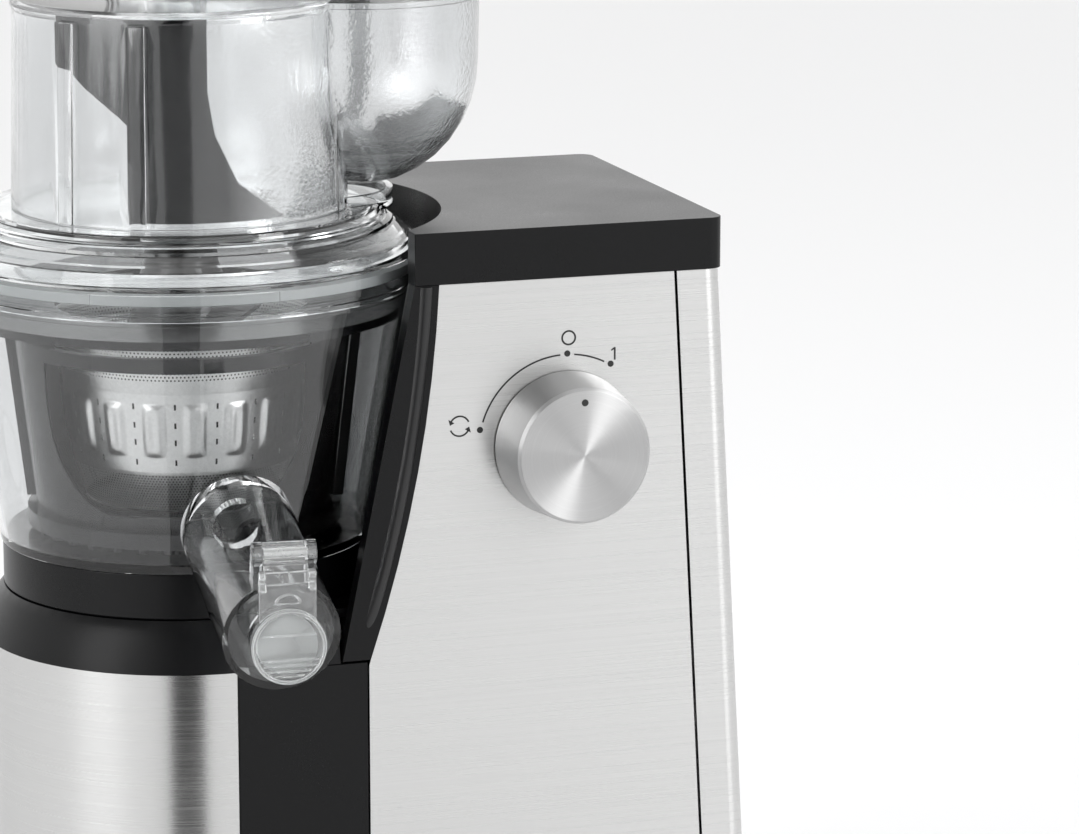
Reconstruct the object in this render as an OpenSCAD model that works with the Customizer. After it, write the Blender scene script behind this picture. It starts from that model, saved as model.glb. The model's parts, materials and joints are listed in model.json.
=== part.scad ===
// Vertical slow juicer: a steel tower holds the motor, a reduction gearbox runs
// under the bowl, and the clear bowl, strainer, auger and hopper stack above it.
// Millimetres, +Z up. The design is drawn about the bowl's axis, and place()
// moves it so that the origin is under the middle of the whole object.

/* [Body] */
// Radius of the rounded nose below the bowl
nose_r = 68; // [66:0.5:69]
// Half of the tower's depth, at the outside of its steel panels
tower_half_y = 68.8; // [68:0.1:69.2]
// Where the tower's end face would meet the table, from the bowl's axis
tower_end_x = 181.4; // [178:0.2:186]
// Lean of the tower's end face towards the bowl
end_lean = 3.06; // [2:0.02:4]
// Width of the end strip that wraps round the tower
end_strip_w = 17; // [14:0.5:20]
// Top of the tower's cap
cap_top_z = 306; // [304:0.5:307]
// Height of the tower's cap
cap_h = 17; // [14:0.5:18]
// Radius of the cap's cut-out round the lid
cap_cutout_r = 86.3; // [85:0.1:88]

/* [Bowl] */
// Underside of the bowl
bowl_z = 197; // [197:0.5:198]
// Outside radius at the bowl's floor
bowl_floor_r = 61.6; // [61:0.1:62]
// Outside radius at the bowl's rim
bowl_rim_r = 76.6; // [75:0.1:76.8]
// Wall thickness of the clear mouldings
clear_wall = 2.4; // [2:0.1:2.6]
// Outside radius of the juice spout
spout_r = 18.6; // [18:0.1:19]
// Length of the juice spout
spout_len = 74.6; // [70:0.2:78]
// Fall of the juice spout below level
spout_fall = 12.8; // [10:0.2:14]

/* [Lid and hopper] */
// Outside radius of the lid's skirt
lid_r = 79.5; // [79.5:0.1:80]
// Outside radius of the drum at its foot
drum_r = 55.6; // [55:0.1:56]
// Top of the drum
drum_top_z = 378; // [376:0.5:380]
// Distance from the bowl's axis to the lobe's axis
lobe_x = 62; // [60:0.5:63]
// Outside radius of the lobe at its widest round
lobe_r = 39.5; // [38:0.1:40]
// Top of the feed chute
chute_top_z = 430; // [425:1:440]

/* [Drive] */
// Teeth of the gear on the drive shaft
output_teeth = 40;
// Teeth of the two larger intermediate gears
wheel_teeth = 42;
// Teeth of the two smaller pinions
pinion_teeth = 14;
// Teeth of the pinion that drives the output gear
last_pinion_teeth = 15;

/* [Control] */
// Knob centre along the tower
knob_x = 111.5; // [105:0.5:118]
// Knob centre height
knob_z = 233.6; // [225:0.2:240]
// Knob radius at the panel
knob_r = 24.4; // [22:0.1:26]

/* [Hidden] */
$fn = 96;

// Colours
steel = "#c9c9c6";
black = "#1b1b1d";
clear = "#dfe6e8";
smoke = "#4a4d50";
bronze = "#b08a4a";
rubber = "#26262a";
copper = "#b4622f";
white = "#e8e8e4";

// Heights above the table
foot_h = 5;
pan_top_z = 22;
sleeve_top_z = 165;
shoulder_top_z = 181.4;
cap_z = cap_top_z - cap_h;
lid_z = 283;
lid_skirt_top_z = 294.5;
lid_top_z = 308.3;
gap = 0.2;

// Object box, which sets the origin
pulp_len = 50;
pulp_fall = 20;
pulp_r = 15;
pulp_z = 217;
hinge_up = 28;
pin_len = spout_len - 1.2;
spout_turn = -3.9;
spout_root = [1.8, -64.5, 212];
cap_disc_r = 11.8;
cap_front = 7.6;
front_y = spout_root[1] + cap_disc_r * sin(spout_turn)
    - cos(spout_turn) * (pin_len * cos(spout_fall) + hinge_up * sin(spout_fall) + cap_front);
back_y = bowl_floor_r - 2 + pulp_len * cos(pulp_fall) + pulp_r * sin(pulp_fall);
origin_x = (tower_end_x - foot_h * tan(end_lean) - lid_r) / 2;
origin_y = (front_y + back_y) / 2;

module place() {
    translate([-origin_x, -origin_y, 0]) children();
}

// ---- Shared shapes ----

module tube(outer, inner, z1, z2) {
    difference() {
        translate([0, 0, z1]) cylinder(r = outer, h = z2 - z1);
        translate([0, 0, z1 - 1]) cylinder(r = inner, h = z2 - z1 + 2);
    }
}

module rod(r, z1, z2) {
    translate([0, 0, z1]) cylinder(r = r, h = z2 - z1);
}

module at(points) {
    for (p = points) translate([p[0], p[1], 0]) children();
}

module box(low, high) {
    translate(low) cube(high - low);
}

// Tower end, tapered in X: where its face stands at a height
function end_x(z) = tower_end_x - z * tan(end_lean);

// Plan outline of the nose and the tower, moved inwards by inset. The straight sides
// run a little inside the nose's round, so that they cross it cleanly.
module body_plan(inset, x_end) {
    corner = 6;
    nose_half = nose_r - inset - 0.1;
    half = tower_half_y - inset;
    circle(r = nose_r - inset);
    translate([0, -nose_half]) square([insert_x + 1, 2 * nose_half]);
    translate([insert_x, -half]) square([x_end - inset - corner - insert_x, 2 * half]);
    translate([insert_x, -half + corner])
        square([x_end - inset - insert_x, 2 * (half - corner)]);
    for (s = [-1, 1]) translate([x_end - inset - corner, s * (half - corner)]) circle(r = corner);
}

// Left edge of the steel panel and of the cradle's lip, as X at a height
edge_r = 450;
edge_z = 312.5;
edge_top_x = 69.3;
function panel_edge_x(z) = edge_top_x - edge_r + sqrt(pow(edge_r, 2) - pow(edge_z - z, 2));
function lip_x(z) = 37.7 + (z - 178.5) * 0.205;
insert_x = 44.2;
panel_z = [for (k = [0:8]) sleeve_top_z + 1 + k * (cap_z - sleeve_top_z - 1.2) / 8];

// Involute spur gear outline with a tooth centred on +X
function involute(r, base) = sqrt(max(r * r - base * base, 0)) / base * 180 / PI
    - acos(min(base / r, 1));
function tooth_half(r, pitch, base, teeth, slack) =
    90 / teeth - slack / pitch * 180 / PI + involute(pitch, base) - involute(max(r, base), base);
function gear_outline(modulus, teeth, add, ded, slack) =
    let (pitch = modulus * teeth / 2)
    let (base = pitch * cos(20))
    let (root = pitch - ded * modulus)
    let (tip = pitch + add * modulus)
    let (radii = [root, max(base, root + 0.2 * modulus), pitch, tip])
    [for (k = [0:teeth - 1]) for (side = [-1, 1]) for (j = [0:3])
        let (r = radii[side < 0 ? j : 3 - j])
        let (a = 360 * k / teeth + side * tooth_half(r, pitch, base, teeth, slack))
        r * [cos(a), sin(a)]];

// Teeth stop short of the full depth, and are thinned so that they run free
gear_add = 0.8;
gear_ded = 1.25;
tooth_slack = 0.09;

module gear(modulus, teeth, z1, z2, turn) {
    rotate([0, 0, turn]) translate([0, 0, z1]) linear_extrude(z2 - z1)
        polygon(gear_outline(modulus, teeth, gear_add, gear_ded, tooth_slack * modulus));
}

// Pan head screw pointing up from z
module screw(shank_r, head_r, head_h, z, length) {
    rod(head_r, z, z + head_h);
    rod(shank_r, z + head_h - 0.5, z + head_h + length);
}

// ---- Housing ----

foot_at = [[-36, -38], [-36, 38], [158, -50], [158, 50]];
base_screw_at = [[-50, 0], [20, -52], [20, 52], [100, -52], [100, 52], [166, 0]];
screw_r = 2;
screw_head_r = 4;

module base_pan() {
    boss_r = 7;
    place() color(black) difference() {
        union() {
            difference() {
                translate([0, 0, foot_h]) linear_extrude(pan_top_z - foot_h)
                    body_plan(0, end_x(foot_h));
                translate([0, 0, foot_h + 3]) linear_extrude(pan_top_z)
                    body_plan(3, end_x(foot_h));
            }
            at(base_screw_at) rod(boss_r, foot_h, pan_top_z - gap);
        }
        at(base_screw_at) rod(screw_r + 0.3, foot_h - 1, pan_top_z + 1);
        at(base_screw_at) rod(screw_head_r + 0.5, foot_h - 1, foot_h + 7);
        at(foot_at) rod(4, foot_h - 1, foot_h + 4);
    }
}

module rubber_feet() {
    place() color(rubber) at(foot_at) {
        rod(10, 0, foot_h);
        rod(3.9, foot_h - 0.5, foot_h + 5);
    }
}

module base_screws() {
    place() color(steel) at(base_screw_at) screw(screw_r, screw_head_r, 3, foot_h + 4, 18);
}

// Posts carry the panels, the shelf carries the motor and the top frame the cap
post_x = [79, 146];
post_w = 9;
post_y = 56.5;
shelf_z = 116;
top_frame_z = 281;
motor_x = 118;
motor_screw_ring = 35;
deck_inset = 2.6;

module chassis() {
    deck_top = pan_top_z + 4;
    place() color(black) difference() {
        union() {
            translate([0, 0, pan_top_z + gap]) linear_extrude(4 - gap)
                body_plan(deck_inset, end_x(deck_top));
            at(base_screw_at) rod(5, deck_top - 1, deck_top + 8);
            for (x = post_x) for (s = [-1, 1])
                box([x, s * post_y + (s < 0 ? -post_w : 0), deck_top - 1],
                    [x + post_w, s * post_y + (s < 0 ? 0 : post_w), top_frame_z]);
            box([post_x[0], -post_y - post_w, shelf_z],
                [post_x[1] + post_w, post_y + post_w, shelf_z + 4]);
            box([93, -post_y - post_w, top_frame_z], [post_x[1] + post_w, post_y + post_w, top_frame_z + 4]);
        }
        at(base_screw_at) rod(screw_r + 0.05, pan_top_z, deck_top + 9);
        translate([motor_x, 0, 0]) rod(28, shelf_z - 1, shelf_z + 5);
        translate([motor_x, 0, 0]) for (k = [0:3]) rotate([0, 0, 45 + 90 * k])
            translate([motor_screw_ring, 0, 0]) rod(1.6, shelf_z - 1, shelf_z + 5);
        box([105, -48, top_frame_z - 1], [140, 48, top_frame_z + 5]);
        at(cap_screw_at) rod(1.7, top_frame_z - 1, top_frame_z + 5);
    }
}

module nose_sleeve() {
    sheet = 0.8;
    place() color(steel) intersection() {
        tube(nose_r, nose_r - sheet, pan_top_z + gap, sleeve_top_z);
        box([-nose_r - 1, -nose_r - 1, 0], [0, nose_r + 1, sleeve_top_z + 1]);
    }
}

module side_insert(side) {
    place() color(black) mirror([0, side < 0 ? 0 : 1, 0])
        box([gap, -nose_r - 0.2, pan_top_z + gap], [insert_x - gap, -nose_r + 2, sleeve_top_z]);
}

module front_insert() {
    side_insert(-1);
}

module rear_insert() {
    side_insert(1);
}

// Steel panel outline in X and Z, seen from the front
seam_gap = 1;
seam_x = tower_end_x - end_strip_w;
panel_top_z = cap_z - gap;
panel_points = concat(
    [[insert_x, pan_top_z + gap]],
    [[insert_x, sleeve_top_z - 1]],
    [for (z = panel_z) [panel_edge_x(z), z]],
    [[seam_x - panel_top_z * tan(end_lean), panel_top_z],
     [seam_x - pan_top_z * tan(end_lean), pan_top_z + gap]]);

module panel_sheet(sheet) {
    translate([0, -tower_half_y + sheet, 0]) rotate([90, 0, 0]) linear_extrude(sheet)
        polygon(panel_points);
}

module front_panel() {
    place() color(steel) difference() {
        panel_sheet(0.8);
        translate([knob_x, 0, knob_z]) rotate([90, 0, 0]) rod(5.2, 60, 80);
    }
}

vent_rows = 9;
gland_at = [136, 44];

module rear_panel() {
    place() color(steel) difference() {
        mirror([0, 1, 0]) panel_sheet(0.8);
        for (k = [0:vent_rows - 1])
            box([88, 60, 96 + 8 * k], [138, 80, 99 + 8 * k]);
        translate([gland_at[0], 0, gland_at[1]]) rotate([-90, 0, 0]) rod(7, 60, 80);
    }
}

module end_wrap() {
    sheet = 0.8;
    corner = 6;
    place() color(steel) intersection() {
        translate([tower_end_x, 0, 0]) rotate([0, -end_lean, 0]) translate([0, 0, -10])
            linear_extrude(cap_z + 20) difference() {
                end_plan(corner, 0);
                end_plan(corner - sheet, sheet);
            }
        box([0, -80, pan_top_z + gap], [300, 80, panel_top_z]);
    }
}

module end_plan(corner, inset) {
    half = tower_half_y - inset;
    translate([-end_strip_w + seam_gap - inset, -half])
        square([end_strip_w - seam_gap - corner, 2 * half]);
    translate([-end_strip_w + seam_gap - inset, -half + corner])
        square([end_strip_w - seam_gap, 2 * (half - corner)]);
    for (s = [-1, 1]) translate([-corner - inset, s * (half - corner)]) circle(r = corner);
}

cap_end_x = 166.3;
cap_half_y = 69.6;
cap_left_x = 60.3;
cap_screw_at = [[99, -54], [99, 54], [138, -54], [138, 54]];

module cap_plan(inset) {
    corner = 5;
    half = cap_half_y - inset;
    x2 = cap_end_x - inset;
    difference() {
        union() {
            translate([cap_left_x + inset, -half]) square([x2 - corner - cap_left_x - inset, 2 * half]);
            translate([cap_left_x + inset, -half + corner])
                square([x2 - cap_left_x - inset, 2 * (half - corner)]);
            for (s = [-1, 1]) translate([x2 - corner, s * (half - corner)]) circle(r = corner);
        }
        circle(r = cap_cutout_r + inset);
    }
}

module top_cap() {
    wall = 2.5;
    boss_r = 4;
    place() color(black) difference() {
        union() {
            difference() {
                translate([0, 0, cap_z]) linear_extrude(cap_h) cap_plan(0);
                translate([0, 0, cap_z - 1]) linear_extrude(cap_h - wall + 1) cap_plan(wall);
            }
            at(cap_screw_at) rod(boss_r, top_frame_z + 4 + gap, cap_top_z - 1);
        }
        at(cap_screw_at) rod(1.6, top_frame_z, cap_top_z - 4);
    }
}

module cap_screws() {
    place() color(steel) at(cap_screw_at) screw(1.5, 3.2, 2.4, top_frame_z - 2.4 - gap, 17);
}

// Recess round the bowl: a conical wall between two lips that face front and back
cradle_top_r = cap_cutout_r;
cradle_foot_r = 74;
cradle_wall = 3;
lip_half_y = 69.2;
lip_depth = 9.2;

module cradle_cone(extra, z1, z2) {
    slope = (cradle_top_r - cradle_foot_r) / (cap_z - shoulder_top_z);
    translate([0, 0, z1]) cylinder(r1 = cradle_foot_r + (z1 - shoulder_top_z) * slope + extra,
        r2 = cradle_foot_r + (z2 - shoulder_top_z) * slope + extra, h = z2 - z1);
}

module lip_sheet() {
    points = concat([for (z = panel_z) [panel_edge_x(z) - gap, z]],
        [[lip_x(panel_top_z), panel_top_z], [lip_x(sleeve_top_z + 1), sleeve_top_z + 1]]);
    translate([0, -lip_half_y + lip_depth, 0]) rotate([90, 0, 0]) linear_extrude(lip_depth)
        polygon(points);
}

module cradle() {
    side_points = [[lip_x(shoulder_top_z), shoulder_top_z + gap], [150, shoulder_top_z + gap],
        [150, panel_top_z], [lip_x(panel_top_z), panel_top_z]];
    place() color(black) difference() {
        union() {
            for (s = [0, 1]) mirror([0, s, 0]) lip_sheet();
            intersection() {
                cradle_cone(cradle_wall, shoulder_top_z + gap, panel_top_z);
                translate([0, lip_half_y - 5, 0]) rotate([90, 0, 0])
                    linear_extrude(2 * (lip_half_y - 5)) polygon(side_points);
            }
        }
        cradle_cone(0, shoulder_top_z - 20, cap_z + 1);
    }
}

// Black shoulder between the steel nose and the bowl's seat
shoulder_skin = [[61.2, 181.4], [63.4, 178.6], [65.6, 174], [67.3, 169], [68.2, 165.2]];
shoulder_wall = 3;
shoulder_profile = concat(shoulder_skin,
    [for (k = [4:-1:1]) shoulder_skin[k] - [shoulder_wall, 0]],
    [[shoulder_skin[1][0] - shoulder_wall, shoulder_top_z - shoulder_wall],
     [50, shoulder_top_z - shoulder_wall], [50, shoulder_top_z]]);
seal_r = 14;

module shoulder() {
    deck_x = 78;
    straight = lip_x(sleeve_top_z) - gap;
    place() color(black) difference() {
        union() {
            intersection() {
                rotate_extrude() polygon(shoulder_profile);
                box([-90, -90, 160], [0, 90, 190]);
            }
            for (s = [0, 1]) mirror([0, s, 0]) rotate([90, 0, 90])
                linear_extrude(straight) polygon(shoulder_profile);
            rod(52, shoulder_top_z - shoulder_wall, shoulder_top_z);
            box([10, -55, shoulder_top_z - shoulder_wall], [straight + 1, 55, shoulder_top_z]);
            box([straight, -59.6, shoulder_top_z - shoulder_wall], [deck_x, 59.6, shoulder_top_z]);
        }
        rod(seal_r, 160, 190);
    }
}

module bowl_seat() {
    seat_r = 61;
    seat_wall = 3;
    place() color(black) difference() {
        rod(seat_r, shoulder_top_z + gap, bowl_z);
        rod(seat_r - seat_wall, shoulder_top_z, bowl_z - seat_wall);
        rod(20, shoulder_top_z, bowl_z + 1);
    }
}

// ---- Drive ----

// Shaft places along the tower, from the output shaft to the motor
last_module = 2;
middle_module = 1.25;
first_module = 1;
second_x = last_module * (output_teeth + last_pinion_teeth) / 2;
first_x = second_x + middle_module * (wheel_teeth + pinion_teeth) / 2;
case_floor_z = 52;
case_top_z = 108;
shaft_r = 8;
stub_r = 4;
stub_bush_r = 7;
bush_r = 12;

module shaft_seal() {
    place() color(rubber) tube(seal_r - 0.05, shaft_r + 0.05, shoulder_top_z - 4, shoulder_top_z + 3);
}

case_r = 52;
case_half_y = 37;
case_boss_r = 3.6;
case_boss_z = 97;
case_boss_y = case_half_y - case_boss_r;
case_screw_at = [for (a = [110, 180, 250]) (case_r - 4.2) * [cos(a), sin(a)],
    for (s = [-1, 1]) [50, s * case_boss_y],
    for (a = [-60, 60]) [first_x, 0] + case_boss_y * [cos(a), sin(a)]];

module case_plan(inset) {
    circle(r = case_r - inset);
    translate([0, -case_half_y + inset]) square([first_x, 2 * (case_half_y - inset)]);
    translate([first_x, 0]) circle(r = case_half_y - inset);
    translate([motor_x, 0]) circle(r = 14 - inset);
}

module gearbox_case() {
    legs = [[-30, -28], [-30, 28], [80, -22], [80, 22]];
    place() color("#7c7f82") difference() {
        union() {
            difference() {
                translate([0, 0, case_floor_z]) linear_extrude(case_top_z - case_floor_z) case_plan(0);
                translate([0, 0, case_floor_z + 4]) linear_extrude(case_top_z) case_plan(3);
            }
            at(case_screw_at) rod(case_boss_r, case_boss_z, case_top_z);
            at(legs) rod(5, pan_top_z + 4 + gap, case_floor_z + 0.1);
        }
        rod(bush_r, case_floor_z - 1, case_floor_z + 5);
        for (x = [second_x, first_x]) translate([x, 0, 0])
            rod(stub_bush_r, case_floor_z - 1, case_floor_z + 5);
        at(case_screw_at) rod(1.55, case_boss_z + 1, case_top_z + 1);
    }
}

module gearbox_lid() {
    place() color("#7c7f82") difference() {
        translate([0, 0, case_top_z + 0.1]) linear_extrude(4) case_plan(0);
        rod(bush_r, case_top_z - 1, case_top_z + 6);
        for (x = [second_x, first_x]) translate([x, 0, 0])
            rod(stub_bush_r, case_top_z - 1, case_top_z + 6);
        translate([motor_x, 0, 0]) rod(10, case_top_z - 1, case_top_z + 6);
        at(case_screw_at) rod(1.7, case_top_z - 1, case_top_z + 6);
    }
}

module gearbox_screws() {
    place() color(steel) at(case_screw_at) {
        rod(3, case_top_z + 4.2, case_top_z + 6.4);
        rod(1.5, case_boss_z + 1.5, case_top_z + 4.5);
    }
}

module output_bushes() {
    place() color(bronze) {
        tube(bush_r, shaft_r + 0.05, case_floor_z - 4, case_floor_z + 6);
        tube(bush_r, shaft_r + 0.05, case_top_z - 4, case_top_z + 8);
    }
}

module gear_bushes() {
    place() color(bronze) for (x = [second_x, first_x]) translate([x, 0, 0]) {
        tube(stub_bush_r, stub_r + 0.05, case_floor_z, case_floor_z + 5);
        tube(stub_bush_r, stub_r + 0.05, case_top_z - 1, case_top_z + 4.1);
    }
}

module output_gear() {
    place() color(steel) difference() {
        union() {
            gear(last_module, output_teeth, 66, 82, 0);
            rod(14, 60, 88);
        }
        rod(shaft_r, 59, 89);
    }
}

hex_af = 12;
hex_r = hex_af / 2 / cos(30);
hex_z = 205;

module drive_shaft() {
    place() color(steel) {
        rod(shaft_r, case_floor_z - 4, hex_z);
        translate([0, 0, hex_z - 0.5]) cylinder(r = hex_r, h = 17, $fn = 6);
    }
}

module second_gear() {
    place() color(white) translate([second_x, 0, 0]) {
        gear(last_module, last_pinion_teeth, 62, 86, 180 + 180 / last_pinion_teeth);
        gear(middle_module, wheel_teeth, 86, 95, 0);
        rod(stub_r, case_floor_z + 0.5, case_top_z + 4);
    }
}

module first_gear() {
    place() color(white) translate([first_x, 0, 0]) {
        gear(middle_module, pinion_teeth, 84, 98, 180 + 180 / pinion_teeth);
        gear(first_module, wheel_teeth, 98, 105, 0);
        rod(stub_r, case_floor_z + 0.5, case_top_z + 4);
    }
}

// Motor, standing on the chassis shelf with its pinion pointing down
motor_r = 39.2;
bell_h = 14;
core_z1 = shelf_z + 4 + bell_h;
core_z2 = core_z1 + 46;
motor_top_z = core_z2 + bell_h;
motor_shaft_r = 4;
motor_bearing_r = 11;

module motor_frame() {
    place() color("#8d9094") translate([motor_x, 0, 0]) {
        difference() {
            rod(motor_r, shelf_z + 4 + gap, core_z1);
            rod(motor_r - 3, shelf_z + 8, core_z1 + 1);
            rod(motor_bearing_r, shelf_z, core_z1);
            motor_holes(shelf_z, core_z1);
        }
        difference() {
            rod(motor_r, core_z2, motor_top_z);
            rod(motor_r - 3, core_z2 - 1, motor_top_z - 4);
            rod(motor_bearing_r, core_z2, motor_top_z + 1);
        }
    }
}

module motor_holes(z1, z2) {
    for (k = [0:3]) rotate([0, 0, 45 + 90 * k])
        translate([motor_screw_ring, 0, 0]) rod(1.6, z1, z2);
}

module stator_core() {
    slots = 24;
    place() color("#5d6063") translate([motor_x, 0, 0]) difference() {
        rod(motor_r, core_z1 + 0.05, core_z2 - 0.05);
        rod(22.5, core_z1 - 1, core_z2 + 1);
        for (k = [0:slots - 1]) rotate([0, 0, 360 * k / slots])
            box([24, -1.2, core_z1 - 1], [33, 1.2, core_z2 + 1]);
    }
}

module stator_windings() {
    place() color(copper) translate([motor_x, 0, 0]) {
        tube(33, 24, core_z1 - 8, core_z1);
        tube(33, 24, core_z2, core_z2 + 8);
    }
}

module motor_bearings() {
    place() color(steel) translate([motor_x, 0, 0]) {
        tube(motor_bearing_r, motor_shaft_r + 0.05, shelf_z + 4.4, shelf_z + 8);
        tube(motor_bearing_r, motor_shaft_r + 0.05, motor_top_z - 4, motor_top_z);
    }
}

module motor_screws() {
    place() color(steel) translate([motor_x, 0, 0]) for (k = [0:3]) rotate([0, 0, 45 + 90 * k])
        translate([motor_screw_ring, 0, 0]) screw(1.5, 3, 2, shelf_z - 2 - 0.1, 7.5);
}

module motor_rotor() {
    place() color("#74777a") translate([motor_x, 0, 0])
        tube(22, motor_shaft_r, core_z1 + 1, core_z2 - 1);
}

module motor_shaft() {
    place() color(steel) translate([motor_x, 0, 0]) {
        rod(motor_shaft_r, 105, motor_top_z + 14);
        gear(first_module, pinion_teeth, 96, 107, 180 + 180 / pinion_teeth);
    }
}

module cooling_fan() {
    blades = 9;
    z1 = motor_top_z + 2;
    place() color(white) translate([motor_x, 0, 0]) difference() {
        union() {
            rod(8, z1, z1 + 11);
            rod(34, z1, z1 + 1.6);
            for (k = [0:blades - 1]) rotate([0, 0, 360 * k / blades])
                box([7, -0.8, z1 + 1], [33, 0.8, z1 + 10]);
        }
        rod(motor_shaft_r, z1 - 1, z1 + 12);
    }
}

// ---- Controls and electrics ----

module facing_front(x, z) {
    translate([x, 0, z]) rotate([90, 0, 0]) children();
}

switch_half = 14;

module rotary_switch() {
    place() color("#303236") facing_front(knob_x, knob_z) difference() {
        union() {
            box([-switch_half, -switch_half, 44], [switch_half, switch_half, tower_half_y - 0.8]);
            rod(5, 60, tower_half_y + 0.6);
        }
        rod(3.05, 46, 80);
    }
}

module knob_shaft() {
    place() color(steel) facing_front(knob_x, knob_z) rod(3, 47, 86);
}

knob_gap = 0.8;
knob_depth = 19.4;
knob_face_r = 22.6;
knob_y = tower_half_y + knob_gap;

module knob_core() {
    place() color(black) facing_front(knob_x, knob_z) difference() {
        rod(knob_face_r - 2, knob_y, knob_y + knob_depth - 1.2);
        rod(3, knob_y - 1, 86);
        for (a = [0:60:300]) rotate([0, 0, a]) translate([12, 0, 0]) rod(4, knob_y - 1, knob_y + 14);
    }
}

module knob_cap() {
    skin = 0.9;
    place() color(steel) facing_front(knob_x, knob_z) difference() {
        rotate_extrude() polygon([[0, knob_y + knob_depth], [knob_face_r - 1, knob_y + knob_depth],
            [knob_face_r, knob_y + knob_depth - 1], [knob_r, knob_y],
            [knob_r - skin, knob_y], [knob_face_r - 1.9, knob_y + knob_depth - 1.2],
            [0, knob_y + knob_depth - 1.2]]);
        translate([0, 17.7, 0]) rod(1, knob_y + knob_depth - 0.4, knob_y + knob_depth + 1);
    }
}

board_y = 50;

module control_board() {
    place() color("#2f6b45") {
        box([80, board_y, 128], [154, board_y + 1.6, 206]);
        for (k = [0:2]) box([100 + 15 * k, 43, 138 + 18 * k], [110 + 15 * k, board_y + 0.1, 150 + 18 * k]);
        for (x = post_x) for (z = [132, 202]) translate([x + post_w / 2, 0, z]) rotate([-90, 0, 0])
            rod(2, board_y + 1.5, post_y);
    }
}

module run_capacitor() {
    place() color(white) translate([141, 24, 0]) {
        rod(13, top_frame_z - 44, top_frame_z);
        for (s = [-4, 4]) translate([s, 0, 0]) rod(1.2, top_frame_z - 52, top_frame_z - 43);
    }
}

gland_bore_r = 3.6;

module cord_gland() {
    place() color(black) translate([gland_at[0], 0, gland_at[1]]) rotate([-90, 0, 0]) difference() {
        union() {
            rod(6.9, 56, tower_half_y + 1);
            rod(9.5, tower_half_y + 0.05, tower_half_y + 3);
        }
        rod(gland_bore_r, 50, 80);
    }
}

module interlock_sensor() {
    place() color("#303236") box([89, -11, 262], [98, 11, 276]);
}

// ---- Bowl ----

// Moves to the spout's root, with +Z along the spout and +Y up across it
module along_spout() {
    translate(spout_root) rotate([0, 0, spout_turn]) rotate([90 + spout_fall, 0, 0]) children();
}

module along_pulp() {
    translate([0, bowl_floor_r - 2, pulp_z]) rotate([-90 - pulp_fall, 0, 0]) children();
}

wall_turn_z = 281;
bowl_top_z = 288;
module bowl_solid(inset, rise) {
    rotate_extrude() polygon([[0, bowl_z + inset], [bowl_floor_r - inset, bowl_z + inset],
        [bowl_floor_r + 0.7 - inset, bowl_z + 3], [bowl_rim_r - inset, wall_turn_z],
        [bowl_rim_r - inset, bowl_top_z + rise], [0, bowl_top_z + rise]]);
}

hinge_ear = 2.6;
hinge_half = 9.7;
pin_r = 1.5;
idler_pin_r = 3;
idler_y = 24;

module juice_bowl() {
    outlet_r = 10.4;
    place() color(clear) difference() {
        union() {
            bowl_solid(0, 0);
            difference() {
                along_spout() {
                    rod(spout_r, -6, spout_len);
                    for (s = [-1, 1]) translate([s * (hinge_half - hinge_ear / 2), 0, 0]) spout_ear();
                }
                rod(bowl_floor_r + 0.2, 150, bowl_z);
            }
            difference() {
                along_pulp() rod(pulp_r, -4, pulp_len);
                rod(bowl_floor_r + 0.2, 150, bowl_z);
            }
        }
        difference() {
            intersection() {
                bowl_solid(clear_wall, 1);
                rod(90, bowl_z + 3, 300);
            }
            translate([0, idler_y, 0]) rod(idler_pin_r, bowl_z, 207);
            tube(14.5, 12, bowl_z, bowl_z + 3.4);
        }
        along_spout() rod(spout_r - 2, 5, spout_len - 2);
        along_spout() rod(outlet_r, 4, spout_len + 1);
        along_spout() translate([0, 1.5, -8]) cylinder(r = 8.5, h = 16);
        along_pulp() rod(pulp_r - 2, -8, pulp_len + 1);
        rod(12, bowl_z - 1, bowl_z + 6);
    }
}

// One ear of the cap hinge, standing on the spout's end
module spout_ear() {
    difference() {
        union() {
            translate([-hinge_ear / 2, 17, spout_len - 5]) cube([hinge_ear, hinge_up - 17, 6.2]);
            translate([-hinge_ear / 2, hinge_up, pin_len]) rotate([0, 90, 0])
                cylinder(r = 3.8, h = hinge_ear);
        }
        translate([-5, hinge_up, pin_len]) rotate([0, 90, 0]) cylinder(r = pin_r, h = 10);
    }
}

module spout_hinge_pin() {
    place() color(steel) along_spout() translate([-hinge_half, hinge_up, pin_len])
        rotate([0, 90, 0]) cylinder(r = pin_r, h = 2 * hinge_half);
}

module bowl_seal() {
    place() color(rubber) tube(12, shaft_r + 0.05, bowl_z + gap, bowl_z + 4);
}

// The cap hangs plumb from its pin, so it stands open by the spout's fall
module hanging_cap() {
    along_spout() translate([0, hinge_up, pin_len]) rotate([-spout_fall, 0, 0]) children();
}

module spout_cap() {
    plate_half = 8.9;
    knuckle_half = hinge_half - hinge_ear - 0.3;
    place() color(clear) hanging_cap() difference() {
        union() {
            rotate([0, 90, 0]) translate([0, 0, -knuckle_half]) cylinder(r = 3.6, h = 2 * knuckle_half);
            translate([-knuckle_half, -9, 3.6 - 2]) cube([2 * knuckle_half, 9, 2]);
            translate([-plate_half, -28, 4]) cube([2 * plate_half, 23, 2]);
            translate([-knuckle_half, -9, 2]) cube([2 * knuckle_half, 4, 3]);
            translate([0, -hinge_up, 4]) cylinder(r = cap_disc_r, h = 2.4);
            translate([0, -hinge_up, 6]) difference() {
                cylinder(r = cap_disc_r, h = cap_front - 6);
                translate([0, 0, -1]) cylinder(r = cap_disc_r - 1.4, h = 4);
            }
        }
        rotate([0, 90, 0]) translate([0, 0, -10]) cylinder(r = pin_r + 0.05, h = 20);
    }
}

module spout_stopper() {
    place() color(white) hanging_cap() translate([0, -hinge_up, -0.4]) cylinder(r = 9.4, h = 4.4);
}

// ---- Strainer, brush and auger ----

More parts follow.
